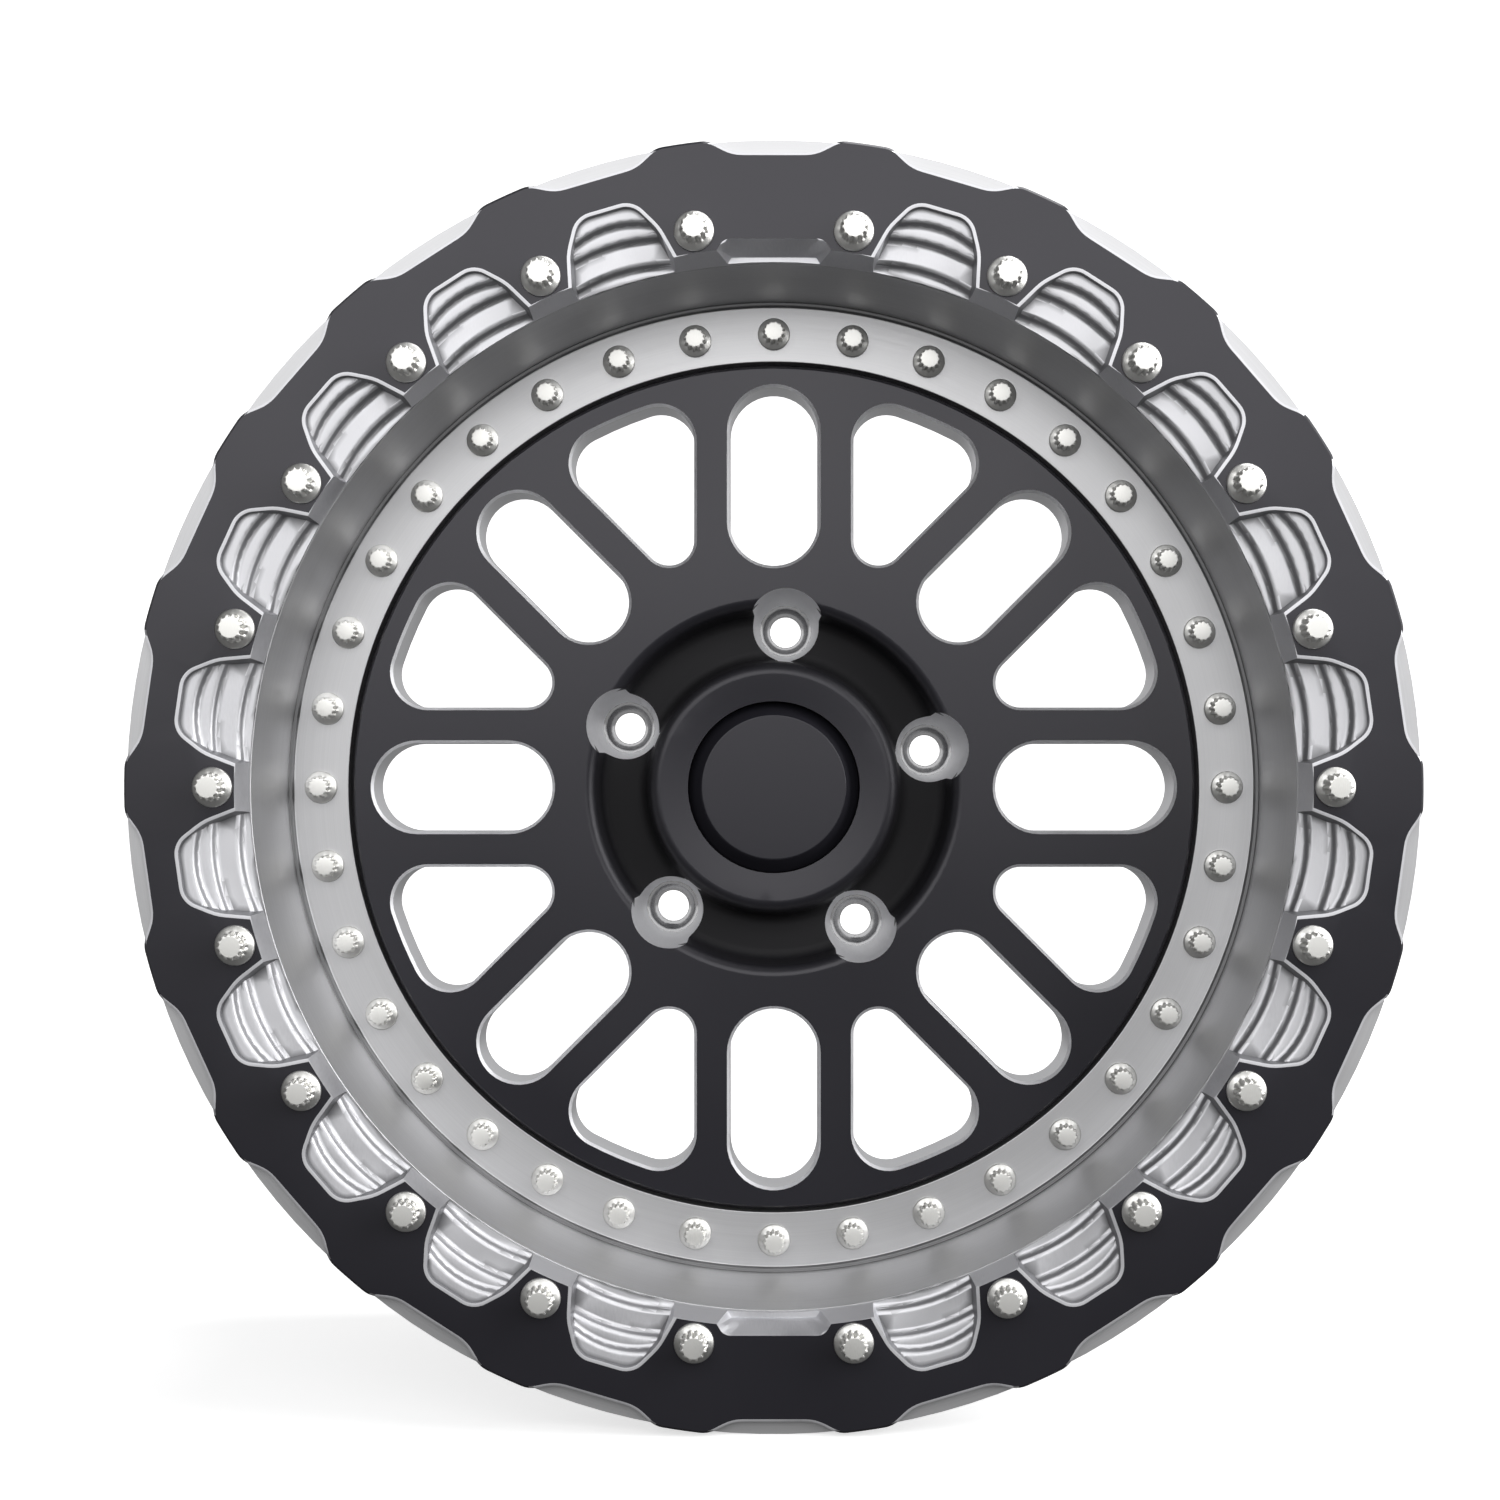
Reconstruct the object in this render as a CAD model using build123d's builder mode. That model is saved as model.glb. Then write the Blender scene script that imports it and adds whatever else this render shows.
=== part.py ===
from build123d import *
import math
import os

# Three-piece off-road wheel with a bolted beadlock ring, in millimetres.
# The spin axis is Y, the face looks along -Y and +Z is up.
# The origin is the centre of the hub mounting face.
# Heights named _h are measured forward of that face, so a point at height h lies at y = -h.

os.makedirs("parts", exist_ok=True)

# Rim size: bead radius and width between the beads, and the circle of the five lug holes
bead_rest_r = 218.3
rim_width = 216.0
lug_centre_r = 63.5

# Heights, from the mounting face forward to the disc's face and the ring
face_h = 51.0
spoke_thick = 26.0
flange_drop = 3.0
lip_depth = 46.0
ring_thick = 14.0

# Flanges of the three-piece stack, front to back
outer_flange_thick = 9.0
centre_flange_thick = 10.0
inner_flange_thick = 9.0

# Rim edge and bead flange stand above the bead rest, and the barrel drops below it
rim_edge_height = 18.2
rim_edge_thick = 11.0
rim_edge_hook = 7.0
bead_gap = 16.0
bead_flange_thick = 7.0
bead_root_length = 17.5
bead_rest_width = 26.0
bead_rest_slope = 5.0
hump_height = 1.6
hump_width = 8.0
hump_lead = 6.0
well_drop = 18.8
well_length = 66.0
barrel_wall = 7.5
seal_leg = 4.0

# Beadlock ring on its register, and the lip behind it
register_step = 1.3
ring_overhang = 24.3
ring_overlap = 20.0
lip_overlap = 0.3
lip_flare = 6.3
lip_step_height = 1.6
lip_step_width = 1.4
lip_step_run = 0.4
lobe_tip_run = 3.3
lobe_tip_depth = 11.0
lobe_half_width = 7.8
lobe_crest_half_width = 7.6
lobe_fillet = 9.5
lobe_chamfer = 0.9
notch_depth = 5.5
notch_reach = 5.9
notch_slope = 27.0
notch_root_fillet = 15.0

# Stepped pockets between the ring bolts
pocket_rim = 18.7
pocket_shoulder_length = 11.5
pocket_shoulder_run = 6.6
pocket_mouth_run = 3.3
pocket_end_fillet = 8.0
pocket_shoulder_fillet = 20.0
pocket_chamfer = 1.1
pocket_draft = 8.0

# Four treads in each pocket: their drop, the lengths of the upper three, their curves and rounded risers
step_depth = 3.0
tread_1_length = 4.5
tread_2_length = 6.4
tread_3_length = 9.7
tread_1_curve = 37.0
tread_2_curve = 66.0
tread_3_curve = 66.0
riser_draft = 30.0
riser_fillet = 2.2
riser_foot_length = 1.6

# Plain bevelled reliefs in the ring at top and bottom
relief_reach = 6.5
relief_half_width = 18.6
relief_flare = 4.0
relief_fillet = 4.5
relief_depth = 11.0
relief_draft = 24.0

# Ring bolts
ring_bolt_count = 22
ring_bolt_inset = 8.7
ring_bolt_r = 4.0
ring_bolt_reach = 16.0
ring_bolt_flange_r = 7.5
ring_bolt_flange_thick = 2.5
ring_bolt_head_r = 5.0
ring_bolt_head_height = 8.0

# Assembly bolts and nuts through the flanges
assembly_bolt_count = 36
assembly_bolt_inset = 8.0
assembly_bolt_r = 3.5
assembly_bolt_flange_r = 6.3
assembly_bolt_flange_thick = 2.0
assembly_bolt_head_r = 4.2
assembly_bolt_head_height = 6.5
assembly_bolt_tail = 1.5
assembly_nut_flats = 11.0
assembly_nut_height = 7.0

# Bolting flanges, and the centre disc's edge inside them
flange_inset = 13.5
flange_reach = 10.9
inner_flange_lap = 1.6
disc_edge_gap = 2.4
disc_edge_chamfer = 0.6

# Hub of the centre disc
hub_pad_margin = 14.5
hub_pad_draft = 4.0
hub_bore_r = 35.75
hub_dish = 1.2
cap_bore_r = 33.8
cap_bore_depth = 16.8
cap_shelf_width = 2.8
cap_shelf_thick = 4.0
trough_inner_reach = 15.0
trough_outer_reach = 7.0
trough_depth = 16.0
trough_wall_run = 2.5
trough_fillet = 4.5

# Wide and narrow round-ended slots by turns, and rounded triangles between them
slot_pairs = 4
window_rim = 7.7
slot_hub_margin = 8.9
wide_slot_half_width = 17.3
narrow_slot_half_width = 15.6
spoke_bar_width = 14.0
triangle_set_back = 0.3
triangle_tip_fillet = 9.8
triangle_fillet = 13.8
window_chamfer = 1.1

# Five conical lug holes
lug_count = 5
lug_turn = 4.3
lug_mouth_r = 14.8
lug_rest_r = 10.4
lug_rest_angle = 30.0
stud_hole_r = 6.3
stud_hole_length = 5.0

# Centre cap and its ring seal
cap_bevel_run = 5.5
cap_drop = 0.5
cap_bevel_depth = 6.0
cap_wall = 4.0
cap_seal_section = 1.8
cap_seal_offset = 5.0

# Tyre valve through the drop centre, behind the disc
valve_turn = 11.25
valve_back = 34.0
valve_hole_r = 5.65
valve_spot_r = 9.6
valve_spot_depth = 0.7
valve_stem_r = 4.0
valve_head_r = 8.0
valve_head_thick = 2.5
valve_grommet_thick = 3.0
valve_grommet_collar = 4.0
valve_stem_length = 18.5
valve_washer_thick = 1.5
valve_washer_r = 8.5
valve_nut_flats = 12.0
valve_nut_height = 5.0
valve_core_r = 1.8
valve_core_length = 13.0
valve_pin_r = 0.6
valve_pin_length = 1.5
valve_air_r = 1.1
valve_cap_r = 5.2
valve_cap_cover = 9.0
valve_cap_end = 2.0

# Clearances
bolt_clearance = 0.3
thread_clearance = 0.05
spigot_clearance = 0.2
seal_clearance = 0.05
cap_clearance = 0.25
valve_clearance = 0.1

# Heights that follow from the sizes above
flange_h = face_h - flange_drop
seat_h = flange_h + lip_depth
front_h = seat_h + ring_thick
centre_front_h = flange_h - outer_flange_thick
centre_back_h = centre_front_h - centre_flange_thick
nut_h = centre_back_h - inner_flange_thick
split_h = (centre_front_h + centre_back_h) / 2
spoke_back_h = face_h - spoke_thick
bead_face_h = seat_h - bead_gap
bead_back_h = bead_face_h - bead_flange_thick
inner_bead_h = seat_h - rim_width
rim_back_h = inner_bead_h - rim_edge_thick

# Radii of the rim, from the bead rest outwards and inwards
rim_edge_r = bead_rest_r + rim_edge_height
register_r = bead_rest_r - register_step
ring_outer_r = register_r + ring_overhang
ring_inner_r = register_r - ring_overlap
ring_bolt_row_r = register_r - ring_bolt_inset
lip_front_r = ring_inner_r - lip_overlap
lip_root_r = lip_front_r - lip_flare
well_r = bead_rest_r - well_drop
well_inner_r = well_r - barrel_wall
centre_flange_r = well_r - flange_inset
stack_r = centre_flange_r + spigot_clearance
assembly_row_r = centre_flange_r - assembly_bolt_inset
flange_bore_r = assembly_row_r - flange_reach
inner_flange_bore_r = flange_bore_r - inner_flange_lap

# Radii of the centre disc, from its edge inwards and from the lug holes
disc_face_r = flange_bore_r - disc_edge_gap
slot_outer_r = disc_face_r - window_rim
triangle_outer_r = slot_outer_r - triangle_set_back
hub_pad_r = lug_centre_r + hub_pad_margin
slot_inner_r = hub_pad_r + slot_hub_margin
trough_inner_r = lug_centre_r - trough_inner_reach
trough_outer_r = lug_centre_r + trough_outer_reach
cap_shelf_r = cap_bore_r - cap_shelf_width
cap_face_r = cap_bore_r - cap_bevel_run

# Pitches of the repeated features
ring_pitch = 360 / ring_bolt_count
slot_pitch = 180 / slot_pairs

# Half sections have the radius across and the height up, and are turned about the spin axis
section = Plane(origin=(0, 0, 0), x_dir=(1, 0, 0), z_dir=(0, 0, -1))
front = Plane.XZ
valve_axis = Plane(
    origin=(0, valve_back - spoke_back_h, 0),
    x_dir=(0, 1, 0),
    z_dir=(math.sin(math.radians(valve_turn)), 0, math.cos(math.radians(valve_turn))),
)

# Outline of one notch in the ring's edge, with the radius along x
notch_floor_r = ring_outer_r - notch_reach
notch_run = notch_reach / math.tan(math.radians(notch_slope))
notch_half_width = math.pi * ring_outer_r / ring_bolt_count - lobe_crest_half_width - notch_run
with BuildSketch() as notch:
    with BuildLine():
        Polyline(
            (notch_floor_r, -notch_half_width),
            (notch_floor_r, notch_half_width),
            (ring_outer_r, notch_half_width + notch_run),
            (ring_outer_r + notch_run, notch_half_width + notch_run),
            (ring_outer_r + notch_run, -notch_half_width - notch_run),
            (ring_outer_r, -notch_half_width - notch_run),
            close=True,
        )
    make_face()
    fillet(notch.vertices().group_by(Axis.X)[0], radius=notch_root_fillet)

# Lobed outline of the ring's front, seen along the axis
with BuildSketch() as lobes:
    with PolarLocations(0, 1, start_angle=ring_pitch / 2):
        Circle(ring_outer_r)
    with PolarLocations(0, ring_bolt_count, start_angle=ring_pitch / 2):
        add(notch.sketch, mode=Mode.SUBTRACT)
    lobe_corners = lobes.vertices().sort_by_distance((0, 0, 0))[-2 * ring_bolt_count :]
    fillet(lobe_corners, radius=lobe_fillet)
    Circle(ring_inner_r, mode=Mode.SUBTRACT)

# Outline of one pocket between two ring bolts, open towards the lip
pocket_lead_r = ring_inner_r - ring_thick
pocket_outer_r = ring_outer_r - pocket_rim
pocket_shoulder_r = pocket_outer_r - pocket_shoulder_length
pocket_mouth_half_width = math.pi * ring_inner_r / ring_bolt_count - lobe_half_width
pocket_shoulder_half_width = pocket_mouth_half_width - pocket_mouth_run
pocket_end_half_width = pocket_shoulder_half_width - pocket_shoulder_run
with BuildSketch() as pocket:
    with BuildLine():
        Polyline(
            (pocket_lead_r, -pocket_mouth_half_width),
            (pocket_lead_r, pocket_mouth_half_width),
            (ring_inner_r, pocket_mouth_half_width),
            (pocket_shoulder_r, pocket_shoulder_half_width),
            (pocket_outer_r, pocket_end_half_width),
            (pocket_outer_r, -pocket_end_half_width),
            (pocket_shoulder_r, -pocket_shoulder_half_width),
            (ring_inner_r, -pocket_mouth_half_width),
            close=True,
        )
    make_face()
    fillet(pocket.vertices().group_by(Axis.X)[2], radius=pocket_shoulder_fillet)
    fillet(pocket.vertices().group_by(Axis.X)[-1], radius=pocket_end_fillet)

# The pocket goes down to the lip over curved treads, each lower than the last and turned about its own axis.
# The edge of the lowest tread lies inside the bore, so that it is the pocket's floor.
step_1_r = pocket_outer_r - tread_1_length
step_2_r = step_1_r - tread_2_length
step_3_r = step_2_r - tread_3_length
steps = (
    (step_1_r, tread_1_curve, step_depth),
    (step_2_r, tread_2_curve, 2 * step_depth),
    (step_3_r, tread_3_curve, 3 * step_depth),
    (pocket_lead_r + step_depth, tread_3_curve, 4 * step_depth),
)
pocket_length = pocket_outer_r - pocket_lead_r
riser_run = step_depth * math.tan(math.radians(riser_draft))
with BuildPart() as pocket_cutter:
    with BuildSketch(Plane.XY):
        add(pocket.sketch)
    extrude(amount=-5 * step_depth, taper=pocket_draft)
    for step_r, step_curve, tread_depth in steps:
        foot_r = step_r - riser_run
        with BuildSketch(Plane.XZ) as tread:
            with BuildLine():
                Polyline(
                    (step_r, -tread_depth),
                    (step_r + pocket_length, -tread_depth),
                    (step_r + pocket_length, -tread_depth - 2 * step_depth),
                    (foot_r - riser_foot_length, -tread_depth - 2 * step_depth),
                    (foot_r - riser_foot_length, -tread_depth - step_depth),
                    (foot_r, -tread_depth - step_depth),
                    close=True,
                )
            make_face()
            riser_middle = ((step_r + foot_r) / 2, -tread_depth - step_depth / 2)
            fillet(tread.vertices().sort_by_distance(riser_middle)[:2], radius=riser_fillet)
        revolve(axis=Axis((step_r - step_curve, 0, 0), (0, 0, 1)), mode=Mode.SUBTRACT)

# Outline of the plain relief that takes a pocket's place at top and bottom
relief_r = ring_inner_r + relief_reach
with BuildSketch() as relief:
    with BuildLine():
        Polyline(
            (pocket_lead_r, -relief_half_width - relief_flare),
            (pocket_lead_r, relief_half_width + relief_flare),
            (ring_inner_r, relief_half_width + relief_flare),
            (relief_r, relief_half_width),
            (relief_r, -relief_half_width),
            (ring_inner_r, -relief_half_width - relief_flare),
            close=True,
        )
    make_face()
    fillet(relief.vertices().group_by(Axis.X)[-1], radius=relief_fillet)

# Beadlock ring: a turned ring with a lobed front, stepped pockets round its bore and a hole in each lobe
lobe_tip_r = ring_inner_r + lobe_tip_run
pockets_per_side = ring_bolt_count // 2 - 1
with BuildPart() as beadlock_ring:
    with BuildSketch(front.offset(seat_h)):
        Circle(ring_outer_r)
        Circle(ring_inner_r, mode=Mode.SUBTRACT)
    extrude(amount=ring_thick - notch_depth)
    with BuildSketch(front.offset(front_h - notch_depth)):
        add(lobes.sketch)
    extrude(amount=notch_depth)
    lobe_edges = beadlock_ring.faces().sort_by(Axis.Y)[0].outer_wire().edges()
    chamfer(lobe_edges, lobe_chamfer)
    with BuildSketch(section):
        with BuildLine():
            Polyline(
                (lobe_tip_r, front_h),
                (ring_inner_r, front_h - lobe_tip_depth),
                (pocket_lead_r, front_h - lobe_tip_depth),
                (pocket_lead_r, front_h),
                close=True,
            )
        make_face()
    revolve(axis=Axis.Y, mode=Mode.SUBTRACT)
    with Locations(front.offset(front_h)):
        for side in (90, 270):
            with PolarLocations(
                0,
                pockets_per_side,
                start_angle=side + ring_pitch,
                angular_range=(pockets_per_side - 1) * ring_pitch,
                endpoint=True,
            ):
                add(pocket_cutter.part, mode=Mode.SUBTRACT)
    pocket_edges = beadlock_ring.edges().group_by(Axis.Y)[0].filter_by(
        lambda e: lobe_tip_r + pocket_chamfer
        < math.hypot(e.center().X, e.center().Z)
        < pocket_outer_r + pocket_chamfer
    )
    chamfer(pocket_edges, pocket_chamfer)
    with BuildSketch(front.offset(front_h)):
        with PolarLocations(0, 2, start_angle=90):
            add(relief.sketch)
    extrude(amount=-relief_depth, taper=relief_draft, mode=Mode.SUBTRACT)
    with BuildSketch(front.offset(front_h)):
        with PolarLocations(ring_bolt_row_r, ring_bolt_count):
            Circle(ring_bolt_r + bolt_clearance)
    extrude(amount=-ring_thick, mode=Mode.SUBTRACT)
beadlock_ring.part.label = "beadlock_ring"
export_step(beadlock_ring.part, "parts/beadlock_ring.step")

# Ring bolts: flange, 12-point head and shank, one through each lobe
with BuildPart() as beadlock_bolts:
    with BuildSketch(front.offset(front_h)):
        with PolarLocations(ring_bolt_row_r, ring_bolt_count):
            Circle(ring_bolt_flange_r)
    extrude(amount=ring_bolt_flange_thick)
    with BuildSketch(front.offset(front_h + ring_bolt_flange_thick)):
        with PolarLocations(ring_bolt_row_r, ring_bolt_count):
            RegularPolygon(ring_bolt_head_r, 6)
            RegularPolygon(ring_bolt_head_r, 6, rotation=30)
    extrude(amount=ring_bolt_head_height)
    with BuildSketch(front.offset(front_h)):
        with PolarLocations(ring_bolt_row_r, ring_bolt_count):
            Circle(ring_bolt_r)
    extrude(amount=-(ring_thick + ring_bolt_reach))
beadlock_bolts.part.label = "beadlock_bolts"
export_step(beadlock_bolts.part, "parts/beadlock_bolts.step")

# Outer barrel: lip, register for the tyre bead, bead flange and inner bolting flange in one turned piece
with BuildPart() as outer_barrel:
    with BuildSketch(section):
        with BuildLine():
            Polyline(
                (lip_front_r, seat_h),
                (register_r, seat_h),
                (register_r, bead_face_h),
                (rim_edge_r, bead_face_h),
                (rim_edge_r, bead_back_h),
                (register_r, bead_back_h),
                (well_r, bead_back_h - bead_root_length),
                (well_r, split_h + seal_leg),
                (well_r - seal_leg, split_h),
                (stack_r, split_h),
                (stack_r, centre_front_h),
                (flange_bore_r, centre_front_h),
                (flange_bore_r, flange_h),
                (lip_root_r - lip_step_width - lip_step_run, flange_h),
                (lip_root_r - lip_step_width, flange_h + lip_step_height),
                (lip_root_r, flange_h + lip_step_height),
                close=True,
            )
        make_face()
    revolve(axis=Axis.Y)
    with BuildSketch(front.offset(seat_h)):
        with PolarLocations(ring_bolt_row_r, ring_bolt_count):
            Circle(ring_bolt_r + thread_clearance)
    extrude(amount=-(ring_bolt_reach + bolt_clearance), mode=Mode.SUBTRACT)
    with BuildSketch(front.offset(flange_h)):
        with PolarLocations(assembly_row_r, assembly_bolt_count):
            Circle(assembly_bolt_r + bolt_clearance)
    extrude(amount=-outer_flange_thick, mode=Mode.SUBTRACT)
outer_barrel.part.label = "outer_barrel"
export_step(outer_barrel.part, "parts/outer_barrel.step")

# Sealant ring in the V groove where the two barrel halves meet
with BuildPart() as barrel_seal:
    with BuildSketch(section):
        with BuildLine():
            Polyline(
                (well_r - seal_leg + 2 * seal_clearance, split_h),
                (well_r, split_h + seal_leg - 2 * seal_clearance),
                (well_r, split_h - seal_leg + 2 * seal_clearance),
                close=True,
            )
        make_face()
    revolve(axis=Axis.Y)
barrel_seal.part.label = "barrel_seal"
export_step(barrel_seal.part, "parts/barrel_seal.step")

# Inner barrel: bolting flange, drop centre, hump, tapered bead rest and rim edge in one turned piece
well_back_h = split_h - seal_leg - well_length
bead_rest_in_r = bead_rest_r - bead_rest_width * math.tan(math.radians(bead_rest_slope))
hump_back_h = inner_bead_h + bead_rest_width
hump_front_h = hump_back_h + hump_width
rise_end_h = hump_front_h + hump_lead
valve_out_r = well_r - valve_spot_depth
valve_in_r = well_inner_r + valve_spot_depth
with BuildPart() as inner_barrel:
    with BuildSketch(section):
        with BuildLine():
            Polyline(
                (inner_flange_bore_r, centre_back_h),
                (stack_r, centre_back_h),
                (stack_r, split_h),
                (well_r - seal_leg, split_h),
                (well_r, split_h - seal_leg),
                (well_r, well_back_h),
                (bead_rest_in_r, rise_end_h),
                (bead_rest_in_r, hump_front_h),
                (bead_rest_in_r + hump_height, (hump_front_h + hump_back_h) / 2),
                (bead_rest_in_r, hump_back_h),
                (bead_rest_r, inner_bead_h),
                (rim_edge_r, inner_bead_h),
                (rim_edge_r, rim_back_h),
                (rim_edge_r - rim_edge_hook, rim_back_h),
                (bead_rest_r - barrel_wall, inner_bead_h),
                (bead_rest_in_r - barrel_wall, rise_end_h),
                (well_inner_r, well_back_h),
                (well_inner_r, nut_h),
                (inner_flange_bore_r, nut_h),
                close=True,
            )
        make_face()
    revolve(axis=Axis.Y)
    with BuildSketch(front.offset(nut_h)):
        with PolarLocations(assembly_row_r, assembly_bolt_count):
            Circle(assembly_bolt_r + bolt_clearance)
    extrude(amount=inner_flange_thick, mode=Mode.SUBTRACT)
    with BuildSketch(valve_axis.offset(valve_in_r)):
        Circle(valve_hole_r)
    extrude(amount=barrel_wall, mode=Mode.SUBTRACT)
    with BuildSketch(valve_axis.offset(valve_in_r)):
        Circle(valve_spot_r)
    extrude(amount=-barrel_wall, mode=Mode.SUBTRACT)
    with BuildSketch(valve_axis.offset(valve_out_r)):
        Circle(valve_spot_r)
    extrude(amount=barrel_wall, mode=Mode.SUBTRACT)
inner_barrel.part.label = "inner_barrel"
export_step(inner_barrel.part, "parts/inner_barrel.step")

# Outlines of the two rounded triangles beside a wide slot, their sides parallel to the slots next to them
slot_turn = math.radians(slot_pitch)
wide_side = wide_slot_half_width + spoke_bar_width
narrow_side = narrow_slot_half_width + spoke_bar_width
triangle_tip_x = (narrow_side + wide_side * math.cos(slot_turn)) / math.sin(slot_turn)
with BuildSketch() as triangles:
    with BuildLine():
        Polyline(
            (triangle_tip_x, wide_side),
            (triangle_tip_x + triangle_outer_r, wide_side),
            (
                triangle_tip_x + triangle_outer_r * math.cos(slot_turn),
                wide_side + triangle_outer_r * math.sin(slot_turn),
            ),
            close=True,
        )
    make_face()
    Circle(triangle_outer_r, mode=Mode.INTERSECT)
    fillet(triangles.vertices().sort_by_distance((0, 0, 0))[0], radius=triangle_tip_fillet)
    fillet(triangles.vertices().sort_by_distance((0, 0, 0))[-2:], radius=triangle_fillet)
    mirror(about=Plane.XZ)

# Centre disc: forged plate with hub pad and trough, opened by the slots and triangles
slot_span = slot_outer_r - slot_inner_r
lug_rest_h = stud_hole_length + (lug_rest_r - stud_hole_r) / math.tan(math.radians(lug_rest_angle))
lug_cone_angle = math.degrees(math.atan((lug_mouth_r - lug_rest_r) / (face_h - lug_rest_h)))
cap_shelf_h = face_h - hub_dish - cap_bore_depth
hub_bore_length = cap_shelf_h - cap_shelf_thick
with BuildPart() as centre_disc:
    with BuildSketch(section) as disc_section:
        with BuildLine():
            Polyline(
                (hub_bore_r, 0),
                (hub_pad_r, 0),
                (hub_pad_r + hub_pad_draft, spoke_back_h),
                (inner_flange_bore_r - spigot_clearance, spoke_back_h),
                (inner_flange_bore_r - spigot_clearance, centre_back_h),
                (centre_flange_r, centre_back_h),
                (centre_flange_r, centre_front_h),
                (disc_face_r, centre_front_h),
                (disc_face_r, face_h - disc_edge_chamfer),
                (disc_face_r - disc_edge_chamfer, face_h),
                (trough_outer_r, face_h),
                (trough_outer_r - trough_wall_run, face_h - trough_depth),
                (trough_inner_r + trough_wall_run, face_h - trough_depth),
                (trough_inner_r, face_h),
                (cap_bore_r, face_h - hub_dish),
                (cap_bore_r, cap_shelf_h),
                (cap_shelf_r, cap_shelf_h),
                (cap_shelf_r, hub_bore_length),
                (hub_bore_r, hub_bore_length),
                close=True,
            )
        make_face()
        trough_corners = disc_section.vertices().filter_by(
            lambda v: v.Y > spoke_back_h
            and trough_inner_r - trough_fillet < v.X < trough_outer_r + trough_fillet
        )
        fillet(trough_corners, radius=trough_fillet)
    revolve(axis=Axis.Y)
    with BuildSketch(front.offset(face_h)):
        with PolarLocations((slot_outer_r + slot_inner_r) / 2, slot_pairs, start_angle=90):
            SlotOverall(slot_span, 2 * wide_slot_half_width)
        with PolarLocations((slot_outer_r + slot_inner_r) / 2, slot_pairs, start_angle=90 + slot_pitch):
            SlotOverall(slot_span, 2 * narrow_slot_half_width)
        with PolarLocations(0, slot_pairs, start_angle=90):
            add(triangles.sketch)
    extrude(amount=-spoke_thick, mode=Mode.SUBTRACT)
    window_edges = centre_disc.edges().group_by(Axis.Y)[0].filter_by(
        lambda e: slot_inner_r - window_chamfer
        < math.hypot(e.center().X, e.center().Z)
        < slot_outer_r + window_chamfer
    )
    chamfer(window_edges, window_chamfer)
    with BuildSketch(front.offset(face_h)):
        with PolarLocations(lug_centre_r, lug_count, start_angle=90 - lug_turn):
            Circle(lug_mouth_r)
    extrude(amount=-(face_h - lug_rest_h), taper=lug_cone_angle, mode=Mode.SUBTRACT)
    with BuildSketch(front.offset(lug_rest_h)):
        with PolarLocations(lug_centre_r, lug_count, start_angle=90 - lug_turn):
            Circle(lug_rest_r)
    extrude(amount=-(lug_rest_h - stud_hole_length), taper=lug_rest_angle, mode=Mode.SUBTRACT)
    with BuildSketch(front):
        with PolarLocations(lug_centre_r, lug_count, start_angle=90 - lug_turn):
            Circle(stud_hole_r)
    extrude(amount=stud_hole_length, mode=Mode.SUBTRACT)
    with BuildSketch(front.offset(centre_back_h)):
        with PolarLocations(assembly_row_r, assembly_bolt_count):
            Circle(assembly_bolt_r + bolt_clearance)
    extrude(amount=centre_flange_thick, mode=Mode.SUBTRACT)
centre_disc.part.label = "centre_disc"
export_step(centre_disc.part, "parts/centre_disc.step")

# Assembly bolts: flange, 12-point head and a shank through all three flanges
with BuildPart() as assembly_bolts:
    with BuildSketch(front.offset(flange_h)):
        with PolarLocations(assembly_row_r, assembly_bolt_count):
            Circle(assembly_bolt_flange_r)
    extrude(amount=assembly_bolt_flange_thick)
    with BuildSketch(front.offset(flange_h + assembly_bolt_flange_thick)):
        with PolarLocations(assembly_row_r, assembly_bolt_count):
            RegularPolygon(assembly_bolt_head_r, 6)
            RegularPolygon(assembly_bolt_head_r, 6, rotation=30)
    extrude(amount=assembly_bolt_head_height)
    with BuildSketch(front.offset(flange_h)):
        with PolarLocations(assembly_row_r, assembly_bolt_count):
            Circle(assembly_bolt_r)
    extrude(amount=-(flange_h - nut_h + assembly_nut_height + assembly_bolt_tail))
assembly_bolts.part.label = "assembly_bolts"
export_step(assembly_bolts.part, "parts/assembly_bolts.step")

# Nuts behind the inner barrel's flange
with BuildPart() as assembly_nuts:
    with BuildSketch(front.offset(nut_h)):
        with PolarLocations(assembly_row_r, assembly_bolt_count):
            RegularPolygon(assembly_nut_flats / 2, 6, major_radius=False)
            Circle(assembly_bolt_r + thread_clearance, mode=Mode.SUBTRACT)
    extrude(amount=-assembly_nut_height)
assembly_nuts.part.label = "assembly_nuts"
export_step(assembly_nuts.part, "parts/assembly_nuts.step")

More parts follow.
